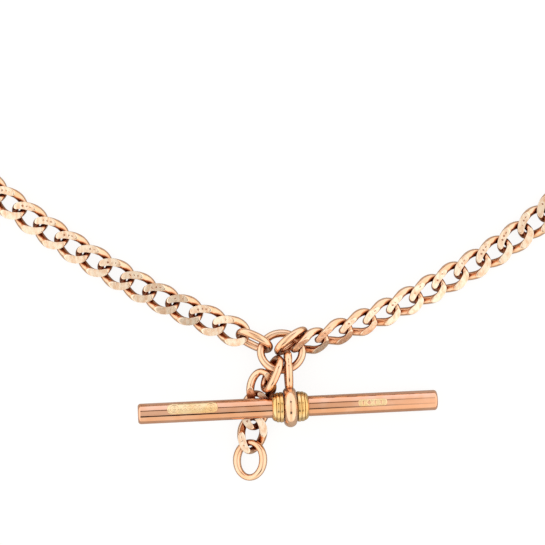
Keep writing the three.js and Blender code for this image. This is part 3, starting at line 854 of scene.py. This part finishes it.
def clasp_hook(gold):
    """The body: a moulded head bored for the stem, the hook's bow and the gate's slotted lug."""
    profile = [(HEAD_START, BORE_RADIUS), (HEAD_START, 1.12)]
    profile += arc((HEAD_START + 0.22, 1.24), 0.2, 200, 80, 8)
    profile += [(HEAD_START + 0.5, 1.36)]
    profile += arc((HEAD_START + 0.85, 1.44), 0.24, 190, -10, 12)
    profile += [(HEAD_START + 1.2, 1.36), (HEAD_START + 1.5, 1.30)]
    profile += arc((HEAD_START + 1.72, 1.32), 0.14, 180, 0, 8)
    profile += [(HEAD_START + 2.0, 1.28), (HEAD_END - 0.8, 1.33), (HEAD_END - 0.3, 1.24)]
    profile += [(HEAD_END - 0.08, 1.13), (HEAD_END, 1.02), (HEAD_END, BORE_RADIUS)]
    piece = solid("head", turned(profile, 64), gold)
    knots = [
        (HEAD_END - 1.6, 0.38),
        (HEAD_END - 0.6, 0.72),
        (HEAD_END + 0.9, 1.0),
        (HEAD_END + 3.4, 1.06),
        (HOOK_TOP + 0.6, 1.02),
        (HOOK_TOP + 2.86, 0.5),
        (HOOK_TOP + 3.24, -0.35),
        (HOOK_TOP + 1.8, -0.95),
        (HOOK_TOP + 0.2, -0.975),
    ]
    bow = round_wire([(x, y * HOOK_REACH, 0) for x, y in knots], *HOOK_WIRE)
    combine(piece, solid("bow", bow, gold), "UNION")
    combine(piece, solid("lug", pin_shape(0.75, 0.95, 0.14), gold, LUG_MIDDLE), "UNION")
    bore = [(HEAD_START - 1, 0), (HEAD_START - 1, BORE_RADIUS)]
    bore += [(HEAD_END + 1, BORE_RADIUS), (HEAD_END + 1, 0)]
    combine(piece, solid("bore", turned(bore, 64), gold), "DIFFERENCE")
    slot = block((2.6, 2.2, 0.9), (LUG_MIDDLE[0] + 0.35, LUG_MIDDLE[1] - 0.15, 0))
    combine(piece, solid("slot", slot, gold), "DIFFERENCE")
    hole = pin_shape(PIN_RADIUS + PIN_CLEARANCE, 2, 0.01)
    combine(piece, solid("hole", hole, gold, LUG_MIDDLE), "DIFFERENCE")
    return piece


def clasp_gate(gold):
    """The sprung gate about its own pivot: bar, root and milled thumb knob."""
    reach = (HOOK_TOP - 0.75 - LUG_MIDDLE[0], -HOOK_REACH - LUG_MIDDLE[1])
    knots = []
    for share in np.linspace(0, 0.985, 7):
        bow = 0.3 * math.sin(math.pi * share)
        knots.append((reach[0] * share, reach[1] * share - bow, 0))
    piece = solid("gate", round_wire(knots, 0.35, 0.46), gold)
    combine(piece, solid("root", pin_shape(0.54, 0.35, 0.05), gold), "UNION")
    segments = 60
    rows = []
    for height, radius in KNOB:
        angles = 2 * np.pi * np.arange(segments) / segments
        milled = radius * (1 + (0.05 if radius > 0.45 else 0) * np.cos(20 * angles))
        x, z = milled * np.cos(angles), milled * np.sin(angles)
        rows.append(np.stack([x, 0 * angles - height, z], axis=1))
    knob = (np.vstack(rows), grid_faces(len(rows), segments, False))
    combine(piece, solid("knob", knob, gold, (1.9, -1.25, 0)), "UNION")
    hole = pin_shape(PIN_RADIUS + PIN_CLEARANCE, 2, 0.01)
    combine(piece, solid("hole", hole, gold), "DIFFERENCE")
    return piece


def clasp_spring(steel):
    """A leaf bowed along its length, with rounded corners."""
    long, wide, thick, bow = 0.85, 0.3, 0.045, 0.05
    u = np.linspace(-long, long, 40)
    half = wide - 0.15 + np.sqrt(0.15**2 - np.clip(np.abs(u) - long + 0.15, 0, 0.15) ** 2)
    y = SPRING_Y - bow * (1 - (u / long) ** 2)
    x = u + HEAD_END - 2.45
    rows = []
    for side, rise in ((-1, thick), (1, thick), (1, -thick), (-1, -thick)):
        rows.append(np.stack([x, y + rise, side * half], axis=1))
    points = np.stack(rows, axis=1).reshape(-1, 3)
    return solid("spring", (points, grid_faces(len(u), 4, False)), steel)


def make_clasps(gold, steel):
    """Both clasps from one set of pieces, placed by their swivel, nod and gate joints."""
    patterns = {
        "eye": clasp_eye(gold),
        "hook": clasp_hook(gold),
        "gate": clasp_gate(gold),
        "gate_pin": solid("pin", pin_shape(PIN_RADIUS - 0.01, 0.95, 0.08), steel),
        "spring": clasp_spring(steel),
    }
    for pattern in patterns.values():
        pattern.data.transform(Matrix.Scale(MM, 4))
        pattern.data.shade_smooth()
        pattern.data.set_sharp_from_angle(angle=math.radians(35))
    for side in SIDES:
        x_axis = joint_axis(f"{side}_clasp_swivel")
        y_axis = joint_axis(f"{side}_clasp_eye_nod")
        start = joint_point(f"{side}_clasp_eye_nod")
        frame_place = place_matrix(start, x_axis, x_axis.cross(y_axis))
        pivot = frame_place.copy()
        pivot.translation = joint_point(f"{side}_clasp_gate_open")
        for kind, pattern in patterns.items():
            node = f"{side}_clasp_{kind}"
            piece = new_object(f"fine_{node}", pattern.data)
            piece.matrix_world = pivot if kind.startswith("gate") else frame_place
            finish_piece(piece, node)
    for pattern in patterns.values():
        bpy.data.objects.remove(pattern)


# ---- build ----
make_camera()
make_floor()
make_world()
BAR = dict(colour=(0.85, 0.45, 0.265), pale=(0.89, 0.53, 0.36), deep=(0.28, 0.07, 0.015))
LINK = dict(colour=(0.95, 0.57, 0.34), pale=(0.97, 0.68, 0.47), deep=(0.30, 0.07, 0.015))
YELLOW = dict(colour=(0.90, 0.59, 0.23), pale=(0.95, 0.73, 0.38), deep=(0.36, 0.15, 0.03))
PLATE = dict(colour=(0.93, 0.62, 0.28), pale=(0.97, 0.76, 0.45), deep=(0.45, 0.18, 0.04))
bar_gold = make_gold("bar_rose_gold", roughness=0.055, streaks=(0.15, 1, 1), **BAR)
ring_gold = make_gold("ring_rose_gold", roughness=0.13, **LINK)
link_gold = make_gold("filed_rose_gold", roughness=0.14, filed=True, **LINK)
yellow_gold = make_gold("yellow_gold", roughness=0.17, **YELLOW)
plate_gold = make_gold("plate_gold", roughness=0.34, **PLATE)
steel = make_steel()

make_links(ring_gold, link_gold)
make_rings(ring_gold)
for arm in SIDES:
    make_runs(arm, link_gold)
bar_place = t_bar_place()
make_rod(bar_place, bar_gold)
make_collars(bar_place, yellow_gold)
make_plates(bar_place, plate_gold)
make_band(bar_place, ring_gold)
make_clasps(ring_gold, steel)
